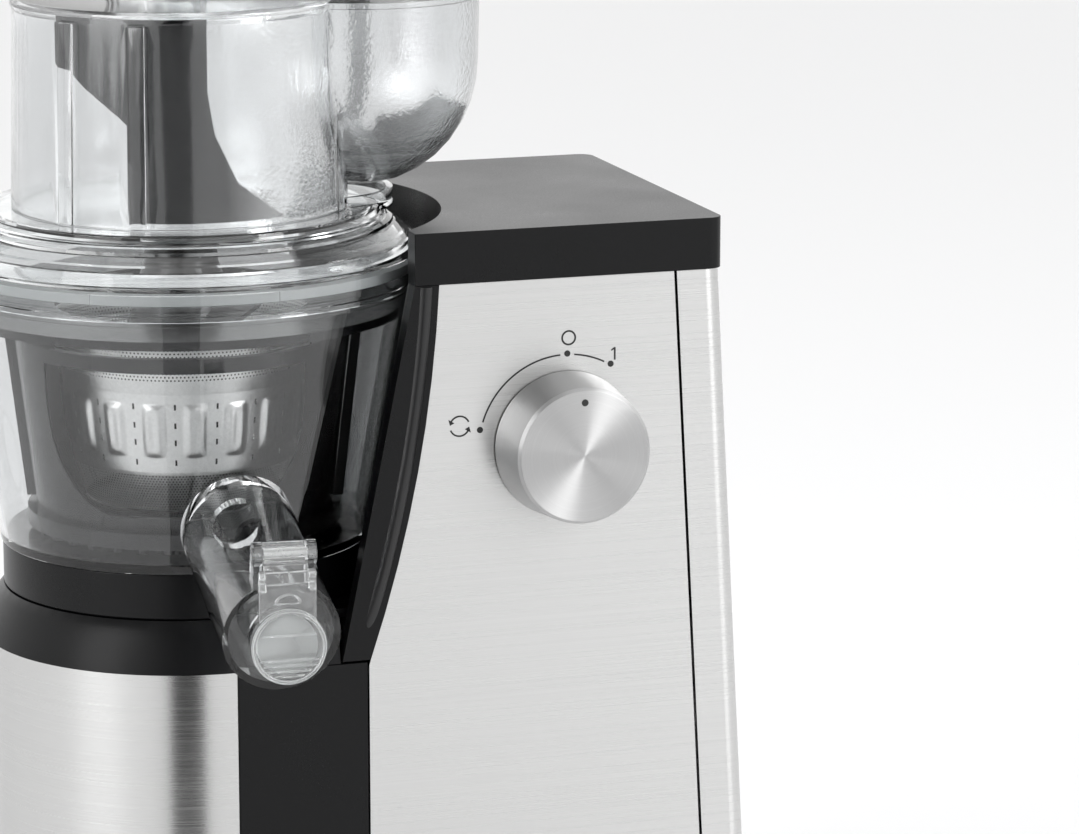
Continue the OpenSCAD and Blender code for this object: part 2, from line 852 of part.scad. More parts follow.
sieve_top_z = 273;
sieve_skin = [[44, 273], [41.4, 255], [40.4, 252], [37.2, 225], [32.5, 211]];

module strainer_mesh() {
    sheet = 0.8;
    place() color(steel) rotate_extrude()
        polygon(concat(sieve_skin, [for (k = [4:-1:0]) sieve_skin[k] - [sheet, 0]]));
}

module strainer_frame() {
    place() color(smoke) {
        difference() {
            rod(72.6, sieve_top_z + 0.1, sieve_top_z + 3);
            translate([0, 0, sieve_top_z]) cylinder(r = 42.4, h = 5);
        }
        tube(32.4, 16.4, 208.8, 210.9);
    }
}

// Ring gear under the strainer turns the brush the opposite way to the auger
bowl_module = 1.5;
auger_teeth = 18;
idler_teeth = 14;
ring_teeth = 46;
bowl_gear_z1 = 201.4;
bowl_gear_z2 = 207.2;
idler_dir = 90;

module brush_frame() {
    ring_r = 52.5;
    wall = 2.6;
    lobes = 36;
    window_mid = 252;
    window_edge = [[42, 262], [41.6, 247], [40.2, 237], [37.4, 229], [33, 221.5], [27.5, 216], [21, 213]];
    window = concat(window_edge, [for (k = [len(window_edge) - 1:-1:0])
        [-window_edge[k][0], window_edge[k][1]]]);
    place() color(smoke) {
        difference() {
            rod(ring_r, bowl_gear_z1 + 1.6, bowl_gear_z2 + 1);
            rotate([0, 0, idler_dir + 180 / ring_teeth]) translate([0, 0, bowl_gear_z1 - 1])
                linear_extrude(10) polygon(gear_outline(bowl_module, ring_teeth, gear_ded, gear_add,
                    -tooth_slack * bowl_module));
        }
        for (k = [0:lobes - 1]) rotate([0, 0, 360 * k / lobes])
            translate([ring_r - 3.2, 0, 0]) rod(2.2, bowl_gear_z1, bowl_gear_z1 + 2);
        difference() {
            rotate_extrude() polygon([[49.4, 208], [56, 267], [56 - wall, 267], [49.4 - wall, 208]]);
            for (side = [0, 180]) rotate([0, 0, window_mid + side]) rotate([90, 0, 90])
                translate([0, 0, 20]) linear_extrude(70) polygon(window);
        }
    }
}

module wiper_blades() {
    place() color(rubber) for (a = [162, 342]) rotate([0, 0, a]) rotate([90, 0, 0])
        translate([0, 0, -1.1]) linear_extrude(2.2)
            polygon([[49.7, 209.5], [56.2, 266], [59.5, 266], [53, 209.5]]);
}

module auger() {
    flight_w = 4.4;
    place() color("#3b3230") difference() {
        union() {
            rotate_extrude() polygon([[0, 214], [20, 214], [23, 235], [20, 262], [12, 288], [9, 292], [0, 292]]);
            rod(15.6, bowl_gear_z2 - 0.1, 214.1);
            gear(bowl_module, auger_teeth, bowl_gear_z1, bowl_gear_z2, idler_dir);
            for (a = [0, 180]) rotate([0, 0, a]) translate([0, 0, 214.5])
                linear_extrude(height = 66, twist = -330, slices = 40, $fn = 4)
                    translate([14, -flight_w / 2]) square([16.2, flight_w]);
        }
        rod(9.5, bowl_gear_z1 - 1, 226);
    }
}

module auger_socket() {
    place() color(steel) difference() {
        rod(9.5, 205.6, 225.9);
        translate([0, 0, 200]) cylinder(r = hex_r + 0.12, h = 23.5, $fn = 6);
    }
}

module idler_gear() {
    place() color(white) rotate([0, 0, idler_dir - 90]) translate([0, idler_y, 0]) difference() {
        gear(bowl_module, idler_teeth, bowl_gear_z1 - 0.6, bowl_gear_z2 - 0.6, 270 + 180 / idler_teeth);
        rod(idler_pin_r + 0.05, 200, 210);
    }
}

// ---- Lid and hopper ----

lobe_ring_x = 43;
lobe_ring_r = 29;
feed_x = 8;
feed_r = 26;
lug_out = 0.7;
lug_turn = -102.7;
lug_half = 22;
lug_z = [288.3, 291.9];

module lid_ring() {
    floor_t = 2.5;
    skin = [[lid_r - 0.3, lid_z], [lid_r - 0.3, lid_z + 1.7], [lid_r - 0.8, lid_z + 2],
        [lid_r - 0.8, lid_z + 2.8], [lid_r, lid_z + 3.1], [lid_r, lid_skirt_top_z - 0.5],
        [lid_r - 0.6, lid_skirt_top_z], [76.9, 298.2], [76.2, 298.6], [74.6, 299.8], [73.9, 300.4],
        [71.1, 302.5], [70.4, 302.8], [70.1, 303.8], [68.3, 304.8], [67.9, 305.3], [66.8, 305.6],
        [66.3, 306.2], [65.7, 307.8], [65, lid_top_z]];
    inner = [[61.5, lid_top_z - floor_t], [62.4, 304], [66.6, 301.4], [73.2, 296.2],
        [lid_r - 2.5, 293], [lid_r - 2.5, lid_z]];
    place() color(clear) difference() {
        union() {
            rotate_extrude() polygon(concat(skin, [[0, lid_top_z], [0, lid_top_z - floor_t]], inner));
            intersection() {
                tube(lid_r + lug_out, lid_r - 1, lug_z[0], lug_z[1]);
                for (s = [0, 180]) rotate([0, 0, lug_turn + s]) linear_extrude(lid_top_z)
                    polygon([[0, 0], 90 * [cos(lug_half), sin(lug_half)], [90, 0],
                        90 * [cos(lug_half), -sin(lug_half)]]);
            }
            translate([lobe_ring_x, 0, 0]) {
                rod(lobe_ring_r, lid_top_z - floor_t, lid_top_z);
                difference() {
                    rod(lobe_ring_r, lid_top_z - 0.1, lid_top_z + 3.4);
                    rod(lobe_ring_r - 2.2, lid_top_z - 1, lid_top_z + 5);
                    translate([-lobe_ring_x, 0, 0]) rod(drum_r + 0.3, lid_top_z - 1, lid_top_z + 5);
                }
            }
        }
        translate([feed_x, 0, 0]) rod(feed_r, 300, 312);
    }
}

module lid_seal() {
    place() color(white) tube(76.8, 72, bowl_top_z + gap, 291.4);
}

drum_lip_z = drum_top_z - 4;
chute_r = 23.5;
lobe_mid_z = 354;
lobe_depth = 42;
chute_wall = 2.2;
draft = 1.8;

function lobe_point(t, inset) =
    [(lobe_r - inset) * cos(t), lobe_mid_z - (lobe_depth - inset) * sin(t)];

module lobe_solid(inset, top) {
    translate([lobe_x, 0, 0]) rotate_extrude()
        polygon(concat([for (t = [90:-10:0]) lobe_point(t, inset)],
            [[lobe_r + draft - inset, top], [0, top]]));
}

// Egg-shaped chute: a small round on the bowl's axis joined to the lobe by tangents,
// which start just inside each round so that they cross it cleanly
module chute_plan(inset) {
    small = chute_r - inset;
    large = lobe_r + draft / 2 - inset;
    lean = asin((large - small) / lobe_x);
    cross = 0.2;
    from = (small - cross) * [sin(lean), cos(lean)];
    to = (large - cross) * [sin(lean), cos(lean)];
    circle(r = small);
    translate([lobe_x, 0]) circle(r = large);
    polygon([[-from[0], from[1]], [lobe_x - to[0], to[1]],
        [lobe_x - to[0], -to[1]], [-from[0], -from[1]]]);
}

// Flat ribs down the outside of the drum
rib_at = [-117.7, -144.5, -33.7];
rib_w = 5.8;
rib_out = 0.9;

module drum_ribs() {
    foot_z = lid_top_z + gap;
    top_z = drum_lip_z - 0.5;
    intersection() {
        rotate_extrude() polygon([[50, foot_z], [drum_r + rib_out, foot_z],
            [drum_r - 1.7 + rib_out, top_z], [50, top_z]]);
        for (a = rib_at) rotate([0, 0, a]) box([40, -rib_w / 2, foot_z - 1], [60, rib_w / 2, top_z + 1]);
    }
}

module hopper() {
    wall = chute_wall;
    place() color(clear) difference() {
        union() {
            rotate_extrude() polygon([[0, lid_top_z + gap], [drum_r, lid_top_z + gap],
                [drum_r - 1.7, drum_lip_z], [drum_r - 1, drum_lip_z + 1],
                [drum_r - 1, drum_top_z - 1], [drum_r - 2, drum_top_z], [0, drum_top_z]]);
            drum_ribs();
            lobe_solid(0, chute_top_z);
            translate([0, 0, drum_top_z - 1]) linear_extrude(chute_top_z - drum_top_z + 1) chute_plan(0);
        }
        rotate_extrude() polygon([[0, lid_top_z - 1], [drum_r - wall, lid_top_z - 1],
            [drum_r - 1.7 - wall, drum_top_z - wall], [0, drum_top_z - wall]]);
        lobe_solid(wall, chute_top_z + 1);
        translate([0, 0, drum_top_z - wall - 1]) linear_extrude(chute_top_z) chute_plan(wall);
    }
}

stem_r = 9.8;

// Dark baffle hanging inside the front of the drum. Its outline is given across the drum
// and up, seen square on: a sloping edge on the left, a foot that widens to the right
module feed_baffle() {
    baffle_r = 50;
    baffle_t = 2;
    facing = -18;
    left = -35;
    slope_top = 360;
    rib = -12;
    slope_end = 341.5;
    foot_z = lid_top_z + 1.5;
    foot_right = 36;
    instep = [22, 322];
    waist = [15, 338];
    right = 13;
    right_end = 352;
    outline = [[left, drum_top_z], [left, slope_top], [rib, slope_end], [rib, foot_z],
        [foot_right, foot_z], instep, waist, [right, right_end], [right, drum_top_z]];
    place() color(smoke) intersection() {
        tube(baffle_r, baffle_r - baffle_t, lid_top_z + 1, drum_top_z - chute_wall - 0.05);
        rotate([0, 0, facing]) rotate([90, 0, 0]) linear_extrude(2 * baffle_r) polygon(outline);
    }
}

guide_top_z = chute_top_z + 5;

module hopper_cover() {
    place() color(black) difference() {
        union() {
            translate([0, 0, chute_top_z + 0.1]) linear_extrude(3) chute_plan(-1);
            rod(14, chute_top_z - 14, guide_top_z);
        }
        rod(stem_r + 0.06, chute_top_z - 20, guide_top_z + 5);
        translate([lobe_x, 0, 0]) rod(34, chute_top_z - 5, chute_top_z + 10);
    }
}

ram_z = 366;
push_travel = 30;
grip_z = guide_top_z + push_travel + gap;
total_h = grip_z + 19;

module pusher_ram() {
    place() color(clear) difference() {
        union() {
            translate([0, 0, ram_z]) cylinder(r1 = stem_r - 1, r2 = stem_r, h = 1.5);
            rod(stem_r, ram_z + 1.5, grip_z + 6);
        }
        rod(stem_r - 2, ram_z + 3, grip_z + 7);
    }
}

module pusher_grip() {
    place() color(black) difference() {
        rotate_extrude() polygon([[0, grip_z], [14, grip_z], [17, grip_z + 5], [17.5, grip_z + 12],
            [14, grip_z + 17.5], [8, total_h], [0, total_h]]);
        rod(stem_r, grip_z - 1, grip_z + 6);
    }
}

base_pan();
rubber_feet();
base_screws();
chassis();
nose_sleeve();
front_insert();
rear_insert();
front_panel();
rear_panel();
end_wrap();
top_cap();
cap_screws();
cradle();
shoulder();
bowl_seat();
shaft_seal();
gearbox_case();
gearbox_lid();
gearbox_screws();
output_bushes();
gear_bushes();
motor_frame();
stator_core();
stator_windings();
motor_bearings();
motor_screws();
rotary_switch();
control_board();
run_capacitor();
cord_gland();
interlock_sensor();
knob_cap();
knob_core();
knob_shaft();
motor_rotor();
motor_shaft();
cooling_fan();
first_gear();
second_gear();
output_gear();
drive_shaft();
juice_bowl();
strainer_frame();
strainer_mesh();
bowl_seal();
spout_hinge_pin();
auger();
auger_socket();
idler_gear();
brush_frame();
wiper_blades();
spout_cap();
spout_stopper();
lid_ring();
hopper();
feed_baffle();
hopper_cover();
lid_seal();
pusher_ram();
pusher_grip();
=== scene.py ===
"""Looks of the vertical slow juicer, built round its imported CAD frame. Metres, +Z up."""
import json
import math

import bmesh
import bpy
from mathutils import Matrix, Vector


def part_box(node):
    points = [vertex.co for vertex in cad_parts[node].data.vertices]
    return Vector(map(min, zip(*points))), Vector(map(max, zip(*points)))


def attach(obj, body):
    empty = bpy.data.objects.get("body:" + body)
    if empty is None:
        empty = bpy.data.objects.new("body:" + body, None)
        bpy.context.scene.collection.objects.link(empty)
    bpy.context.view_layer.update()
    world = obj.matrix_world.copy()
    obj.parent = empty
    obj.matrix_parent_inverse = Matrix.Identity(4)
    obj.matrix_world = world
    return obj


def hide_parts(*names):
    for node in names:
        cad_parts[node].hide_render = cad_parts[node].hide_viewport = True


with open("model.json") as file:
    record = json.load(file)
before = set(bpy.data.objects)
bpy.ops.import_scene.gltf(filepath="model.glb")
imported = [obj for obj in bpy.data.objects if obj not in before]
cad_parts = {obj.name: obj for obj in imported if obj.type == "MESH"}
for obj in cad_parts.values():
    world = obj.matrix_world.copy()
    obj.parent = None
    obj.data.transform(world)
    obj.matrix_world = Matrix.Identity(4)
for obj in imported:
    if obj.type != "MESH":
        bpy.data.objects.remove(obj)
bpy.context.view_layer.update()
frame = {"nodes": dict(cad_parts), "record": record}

MM = 0.001

# The bowl's axis, in the row frame
seat_low, seat_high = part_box("bowl_seat")
BOWL_X = (seat_low.x + seat_high.x) / 2
BOWL_Y = (seat_low.y + seat_high.y) / 2

BODY_OF = {node: body for body, nodes in frame["record"]["behaviour"]["bodies"].items() for node in nodes}


def at(x, y, z):
    """A point given in millimetres from the bowl's axis, as a point of the row frame."""
    return Vector((BOWL_X + x * MM, BOWL_Y + y * MM, z * MM))


# ---------------------------------------------------------------- materials

class Shader:
    """A node material round one principled shader."""

    def __init__(self, name):
        self.material = bpy.data.materials.new(name)
        self.material.use_nodes = True
        self.tree = self.material.node_tree
        self.tree.nodes.clear()
        self.output = self.tree.nodes.new("ShaderNodeOutputMaterial")
        self.bsdf = self.tree.nodes.new("ShaderNodeBsdfPrincipled")
        self.link(self.bsdf.outputs["BSDF"], self.output.inputs["Surface"])
        self.coordinates = self.tree.nodes.new("ShaderNodeTexCoord").outputs["Object"]

    def link(self, a, b):
        self.tree.links.new(a, b)

    def node(self, kind, **inputs):
        made = self.tree.nodes.new("ShaderNode" + kind)
        for name, value in inputs.items():
            made.inputs[name.replace("_", " ")].default_value = value
        return made

    def set(self, **inputs):
        for name, value in inputs.items():
            self.bsdf.inputs[name.replace("_", " ")].default_value = value

    def mapped(self, scale, source=None):
        """Object coordinates stretched by scale."""
        mapping = self.node("Mapping", Scale=scale)
        self.link(source or self.coordinates, mapping.inputs["Vector"])
        return mapping.outputs["Vector"]

    def noise(self, vector, scale, detail=3.0, roughness=0.5):
        made = self.node("TexNoise", Scale=scale, Detail=detail, Roughness=roughness)
        self.link(vector, made.inputs["Vector"])
        return made.outputs["Fac"]

    def between(self, value, low, high, start=0.0, end=1.0):
        """value from start..end, spread over low..high."""
        ranged = self.node("MapRange")
        ranged.inputs["From Min"].default_value = start
        ranged.inputs["From Max"].default_value = end
        ranged.inputs["To Min"].default_value = low
        ranged.inputs["To Max"].default_value = high
        self.link(value, ranged.inputs["Value"])
        return ranged.outputs["Result"]

    def math(self, operation, a, b):
        made = self.node("Math")
        made.operation = operation
        for socket, value in zip(made.inputs, (a, b)):
            if isinstance(value, (int, float)):
                socket.default_value = value
            else:
                self.link(value, socket)
        return made.outputs["Value"]

    def tint(self, value, dark, light):
        """Base colour that runs from dark to light with value."""
        mix = self.tree.nodes.new("ShaderNodeMix")
        mix.data_type = "RGBA"
        mix.inputs["A"].default_value = (*dark, 1)
        mix.inputs["B"].default_value = (*light, 1)
        self.link(value, mix.inputs["Factor"])
        self.link(mix.outputs["Result"], self.bsdf.inputs["Base Color"])

    def bump(self, height, distance, strength=1.0):
        made = self.node("Bump", Distance=distance, Strength=strength)
        self.link(height, made.inputs["Height"])
        self.link(made.outputs["Normal"], self.bsdf.inputs["Normal"])

    def vector_math(self, operation, first, second=None):
        """second is a constant."""
        made = self.tree.nodes.new("ShaderNodeVectorMath")
        made.operation = operation
        self.link(first, made.inputs[0])
        if second is not None:
            made.inputs[1].default_value = second
        return made

    def part_of(self, axis, source=None):
        split = self.node("SeparateXYZ")
        self.link(source or self.coordinates, split.inputs["Vector"])
        return split.outputs[axis]


# The highlight of brushed metal spreads across its grooves: a quarter turn from the tangent
ACROSS_GROOVES = 0.25


def brushed_steel(name, scale, tangent_axis, light=0.61, rough=(0.24, 0.36), grain=0.000012):
    """Steel brushed across tangent_axis; scale stretches the grain along the brushing."""
    s = Shader(name)
    grain_map = s.mapped(scale)
    fine = s.noise(grain_map, 1.0, detail=4.0, roughness=0.65)
    cloud = s.noise(s.mapped((14, 14, 14)), 1.0, detail=2.0)
    s.tint(fine, (light - 0.11,) * 3, (light + 0.02, light + 0.02, light + 0.01))
    s.set(**{"Metallic": 1.0, "Anisotropic": 0.75, "Anisotropic Rotation": ACROSS_GROOVES})
    s.link(s.between(s.math("ADD", s.math("MULTIPLY", fine, 0.8), s.math("MULTIPLY", cloud, 0.2)), *rough,
                     start=0.3, end=0.7), s.bsdf.inputs["Roughness"])
    s.bump(fine, grain)
    normal = s.tree.nodes.new("ShaderNodeNewGeometry").outputs["Normal"]
    cross = s.vector_math("CROSS_PRODUCT", normal, tangent_axis)
    s.link(cross.outputs["Vector"], s.bsdf.inputs["Tangent"])
    return s.material


def turned_steel(name, centre, axis, light=0.6):
    """Steel turned about an axis through centre, with fine rings."""
    s = Shader(name)
    offset = s.vector_math("SUBTRACT", s.coordinates, centre).outputs["Vector"]
    across = s.mapped(tuple(0.0 if a else 1.0 for a in axis), offset)
    along = s.mapped(tuple(float(a) for a in axis), offset)
    joined = s.node("CombineXYZ")
    s.link(s.vector_math("LENGTH", across).outputs["Value"], joined.inputs["X"])
    s.link(s.vector_math("LENGTH", along).outputs["Value"], joined.inputs["Y"])
    fine = s.noise(joined.outputs["Vector"], 3200.0, detail=3.0, roughness=0.6)
    s.tint(fine, (light - 0.08,) * 3, (light + 0.05,) * 3)
    s.set(**{"Metallic": 1.0, "Anisotropic": 0.95, "Anisotropic Rotation": ACROSS_GROOVES})
    s.link(s.between(fine, 0.36, 0.48, 0.3, 0.7), s.bsdf.inputs["Roughness"])
    s.bump(fine, 0.00001)
    cross = s.vector_math("CROSS_PRODUCT", offset, tuple(float(a) for a in axis))
    s.link(cross.outputs["Vector"], s.bsdf.inputs["Tangent"])
    return s.material


def plain_metal(name, color, rough, metallic=1.0, grain=900.0, depth=0.00002):
    """Machined or cast metal with an even fine grain."""
    s = Shader(name)
    fine = s.noise(s.mapped((1, 1, 1)), grain, detail=3.0)
    s.tint(fine, tuple(c * 0.82 for c in color), tuple(min(1, c * 1.1) for c in color))
    s.set(Metallic=metallic)
    s.link(s.between(fine, rough - 0.06, rough + 0.08, 0.3, 0.7), s.bsdf.inputs["Roughness"])
    s.bump(fine, depth)
    return s.material


def moulded(name, color, rough, grain=1800.0, depth=0.00003, coat=0.0, spread=0.12, sheen=0.5):
    """Opaque moulded plastic or rubber, finely textured."""
    s = Shader(name)
    fine = s.noise(s.mapped((1, 1, 1)), grain, detail=2.0)
    cloud = s.noise(s.mapped((1, 1, 1)), 22.0, detail=2.0)
    s.tint(cloud, tuple(c * (1 - spread) for c in color), tuple(c * (1 + spread) for c in color))
    s.set(**{"Coat Weight": coat, "Coat Roughness": 0.2, "Specular IOR Level": sheen})
    s.link(s.between(s.math("ADD", s.math("MULTIPLY", fine, 0.5), s.math("MULTIPLY", cloud, 0.5)),
                     rough - 0.05, rough + 0.06, 0.3, 0.7), s.bsdf.inputs["Roughness"])
    s.bump(fine, depth)
    return s.material


def clear(name, color, rough=0.02, ripple=0.0, grain=90.0, ior=1.5, ripple_from=None, haze=0.0, painted_reflection=None):
    """Clear moulded plastic. ripple is the depth of its uneven surface; the metallic share, given as a pair,
    makes it mirror like metal, a painted reflection. Both grow where X is beyond ripple_from."""
    s = Shader(name)
    soft = s.noise(s.mapped((1, 1, 1)), grain, detail=2.0)
    s.tint(soft, tuple(c * 0.985 for c in color), color)
    s.set(**{"Transmission Weight": 1.0 - haze, "IOR": ior})
    # Painted reflection: the plastic turns partly metallic beyond ripple_from
    if painted_reflection:
        mask = s.between(s.part_of("X"), *painted_reflection, ripple_from - 0.004, ripple_from + 0.016)
        s.link(mask, s.bsdf.inputs["Metallic"])
    s.link(s.between(soft, rough * 0.7, rough * 1.3, 0.3, 0.7), s.bsdf.inputs["Roughness"])
    if ripple:
        height = s.noise(s.mapped((1, 1, 1)), 700.0, detail=2.0)
        if ripple_from is not None:
            mask = s.between(s.part_of("X"), 0.0, 1.0, ripple_from, ripple_from + 0.012)
            height = s.math("MULTIPLY", height, mask)
        s.bump(height, ripple)
    return s.material


def circuit_board():
    s = Shader("board_green")
    tracks = s.tree.nodes.new("ShaderNodeTexBrick")
    tracks.inputs["Scale"].default_value = 160.0
    s.link(s.coordinates, tracks.inputs["Vector"])
    s.tint(tracks.outputs["Fac"], (0.02, 0.13, 0.06), (0.05, 0.26, 0.12))
    s.set(Roughness=0.4)
    return s.material


def lamination_steel():
    """Stacked sheets: thin lines across Z."""
    s = Shader("lamination_steel")
    lines = s.noise(s.mapped((2, 2, 1400)), 1.0, detail=1.0)
    s.tint(lines, (0.16, 0.16, 0.17), (0.42, 0.43, 0.44))
    s.set(Metallic=0.9, Roughness=0.45)
    s.bump(lines, 0.00008)
    return s.material


def copper_coils():
    s = Shader("copper_coils")
    turns = s.noise(s.mapped((300, 300, 1500)), 1.0, detail=2.0)
    s.tint(turns, (0.35, 0.12, 0.05), (0.8, 0.38, 0.2))
    s.set(Metallic=0.8, Roughness=0.35)
    s.bump(turns, 0.0002)
    return s.material


KNOB = at(111.5, -68.8, 233.6)
HORIZONTAL = (0, 0, 1)

black = moulded("black_satin", (0.0035, 0.0036, 0.004), 0.3, sheen=0.19)
# Copy of the black satin with more sheen, used only on the lip's bead: a painted highlight along the bead
black_bead_painted_sheen = moulded("black_satin_bead_painted_sheen", (0.0035, 0.0036, 0.004), 0.36, sheen=0.5)
black_core = moulded("black_structure", (0.01, 0.01, 0.011), 0.5, sheen=0.3)
rubber = moulded("dark_silicone_rubber", (0.02, 0.02, 0.022), 0.6, depth=0.00005)
pale_rubber = moulded("pale_silicone_rubber", (0.62, 0.64, 0.64), 0.45)
panel_steel = brushed_steel("panel_steel_brushed", (4, 4, 3600), HORIZONTAL)
strip_steel = brushed_steel("strip_steel_brushed", (4, 4, 3600), HORIZONTAL, light=0.61)
nose_steel = brushed_steel("nose_steel_brushed", (4, 4, 3600), HORIZONTAL, light=0.6, rough=(0.2, 0.3))
knob_steel = turned_steel("knob_steel_turned", tuple(KNOB), (0, 1, 0), light=0.52)
sieve_steel = plain_metal("sieve_steel_polished", (0.86, 0.86, 0.85), 0.4)
machined = plain_metal("machined_steel", (0.62, 0.62, 0.62), 0.3)
die_cast = plain_metal("die_cast_alloy", (0.5, 0.51, 0.52), 0.5, grain=500.0, depth=0.00006)
bronze = plain_metal("sintered_bronze", (0.6, 0.42, 0.2), 0.42)
nylon = moulded("natural_nylon", (0.72, 0.72, 0.68), 0.42)
clear_lid = clear("clear_lid_plastic", (0.86, 0.875, 0.88), rough=0.03)
# The hopper mirrors partly like metal beyond the bowl's axis: a painted reflection on that side
clear_hopper = clear("clear_hopper_plastic", (0.88, 0.89, 0.895), rough=0.1, ripple=0.00012,
                     ripple_from=BOWL_X + 0.006, painted_reflection=(0.05, 0.28))
clear_bowl = clear("clear_bowl_plastic", (0.84, 0.85, 0.855), rough=0.015)
clear_cap = clear("clear_cap_plastic", (0.96, 0.97, 0.97), rough=0.01, haze=0.08)
clear_pusher = clear("clear_pusher_plastic", (0.93, 0.94, 0.94), rough=0.02)
smoke = moulded("smoked_plastic", (0.012, 0.0125, 0.0135), 0.22, coat=0.1, sheen=0.35)
# Near-black baffle in the drum: partly a smoked plastic part, partly painted shade that stands in for the
# shadow and dark reflection inside the drum
baffle_painted_shade = moulded("smoked_baffle_painted_shade", (0.004, 0.004, 0.0045), 0.3, coat=0.05, sheen=0.1)
auger_plastic = moulded("auger_plastic", (0.03, 0.027, 0.026), 0.3, coat=0.3)
print_ink = moulded("dial_ink", (0.006, 0.006, 0.006), 0.4, depth=0.00001)
board = circuit_board()
laminations = lamination_steel()
coils = copper_coils()

MATERIAL_OF = {
    black: ["base_pan", "front_insert", "rear_insert", "top_cap", "cradle", "shoulder", "bowl_seat",
            "cord_gland", "hopper_cover", "pusher_grip", "knob_core"],
    black_core: ["chassis", "rotary_switch", "interlock_sensor"],
    rubber: ["rubber_feet", "shaft_seal", "bowl_seal", "wiper_blades"],
    pale_rubber: ["spout_stopper", "lid_seal"],
    panel_steel: ["front_panel", "rear_panel"],
    strip_steel: ["end_wrap"],
    nose_steel: ["nose_sleeve"],
    knob_steel: ["knob_cap"],
    sieve_steel: ["strainer_mesh"],
    machined: ["base_screws", "cap_screws", "gearbox_screws", "motor_screws", "motor_bearings",
               "knob_shaft", "motor_shaft", "output_gear", "drive_shaft", "spout_hinge_pin", "auger_socket"],
    die_cast: ["gearbox_case", "gearbox_lid", "motor_frame"],
    bronze: ["output_bushes", "gear_bushes"],
    laminations: ["stator_core", "motor_rotor"],
    coils: ["stator_windings"],
    nylon: ["first_gear", "second_gear", "idler_gear", "cooling_fan", "run_capacitor"],
    board: ["control_board"],
    clear_lid: ["lid_ring"],
    clear_hopper: ["hopper"],
    clear_bowl: ["juice_bowl"],
    clear_cap: ["spout_cap"],
    clear_pusher: ["pusher_ram"],
    smoke: ["strainer_frame", "brush_frame"],
    baffle_painted_shade: ["feed_baffle"],
    auger_plastic: ["auger"],
}


def paint(piece, material):
    piece.data.materials.clear()
    piece.data.materials.append(material)


for finish, names in MATERIAL_OF.items():
    for name in names:
        paint(frame["nodes"][name], finish)


# ---------------------------------------------------------------- pieces

def link(name, mesh, body, material):
    """Makes an object of mesh, which rides on body."""
    piece = bpy.data.objects.new(name, mesh)
    bpy.context.scene.collection.objects.link(piece)
    paint(piece, material)
    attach(piece, body)
    return piece


def smooth(mesh, angle):
    """Smooth shading, with the edges sharper than angle kept."""
    mesh.polygons.foreach_set("use_smooth", [True] * len(mesh.polygons))
    mesh.set_sharp_from_angle(angle=math.radians(angle))


def softened(node, width, segments=2, angle=35):
    """A copy of a CAD node with its sharp edges rounded, which stands for that node."""
    source = frame["nodes"][node]
    mesh = source.data.copy()
    work = bmesh.new()
    work.from_mesh(mesh)
    bmesh.ops.remove_doubles(work, verts=work.verts, dist=2e-6)
    bmesh.ops.dissolve_limit(work, angle_limit=math.radians(0.4), verts=work.verts, edges=work.edges)
    bmesh.ops.recalc_face_normals(work, faces=work.faces)
    work.to_mesh(mesh)
    work.free()
    smooth(mesh, angle)
    piece = link(node + "_soft", mesh, BODY_OF[node], source.data.materials[0])
    bevel = piece.modifiers.new("edges", "BEVEL")
    bevel.width = width * MM
    bevel.segments = segments
    bevel.limit_method = "ANGLE"
    bevel.angle_limit = math.radians(angle)
    bevel.use_clamp_overlap = True
    bevel.harden_normals = True
    bevel.miter_outer = "MITER_ARC"
    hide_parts(node)
    return piece


def mesh_of(name, points, faces, smooth_angle=None):
    mesh = bpy.data.meshes.new(name)
    mesh.from_pydata([tuple(p) for p in points], [], faces)
    mesh.validate()
    if smooth_angle is not None:
        smooth(mesh, smooth_angle)
    return mesh


def closed_mesh(name, points, faces, smooth_angle=None):
    """A mesh with all its faces turned outwards."""
    work = bmesh.new()
    work.from_mesh(mesh_of(name, points, faces))
    bmesh.ops.recalc_face_normals(work, faces=work.faces)
    mesh = bpy.data.meshes.new(name)
    work.to_mesh(mesh)
    work.free()
    if smooth_angle is not None:
        smooth(mesh, smooth_angle)
    return mesh


def plate(name, outlines, place, depth, body, material):
    """Thin raised marks. Each outline is a list of points in millimetres; place turns an
    outline point and a height into a point of the row frame."""
    points, faces = [], []
    for outline in outlines:
        start, count = len(points), len(outline)
        points += [place(u, v, 0) for u, v in outline] + [place(u, v, depth) for u, v in outline]
        faces.append(list(range(start + count - 1, start - 1, -1)))
        faces.append(list(range(start + count, start + 2 * count)))
        faces += [[start + k, start + (k + 1) % count, start + count + (k + 1) % count, start + count + k]
                  for k in range(count)]
    return link(name, closed_mesh(name, points, faces), body, material)


def turn_point(radius, degrees):
    """A point at a clockwise angle from straight up."""
    a = math.radians(degrees)
    return radius * math.sin(a), radius * math.cos(a)


def arc_band(cx, cy, radius, width, start, end, steps=36):
    """Outline of a band that follows an arc, angles clockwise from straight up."""
    outer = [turn_point(radius + width / 2, start + (end - start) * k / steps) for k in range(steps + 1)]
    inner = [turn_point(radius - width / 2, start + (end - start) * k / steps) for k in range(steps, -1, -1)]
    return [(cx + x, cy + y) for x, y in outer + inner]


def disc(cx, cy, radius, steps=28):
    return [(cx + radius * math.cos(2 * math.pi * k / steps), cy + radius * math.sin(2 * math.pi * k / steps))
            for k in range(steps)]


# ---------------------------------------------------------------- dial

DIAL_R = 29.7
STROKE = 0.55
MARK_H = 0.08


def on_panel(u, v, h):
    """Across the panel and up it, from the knob's centre, standing h out of it."""
    return KNOB + Vector((u, -h, v)) * MM


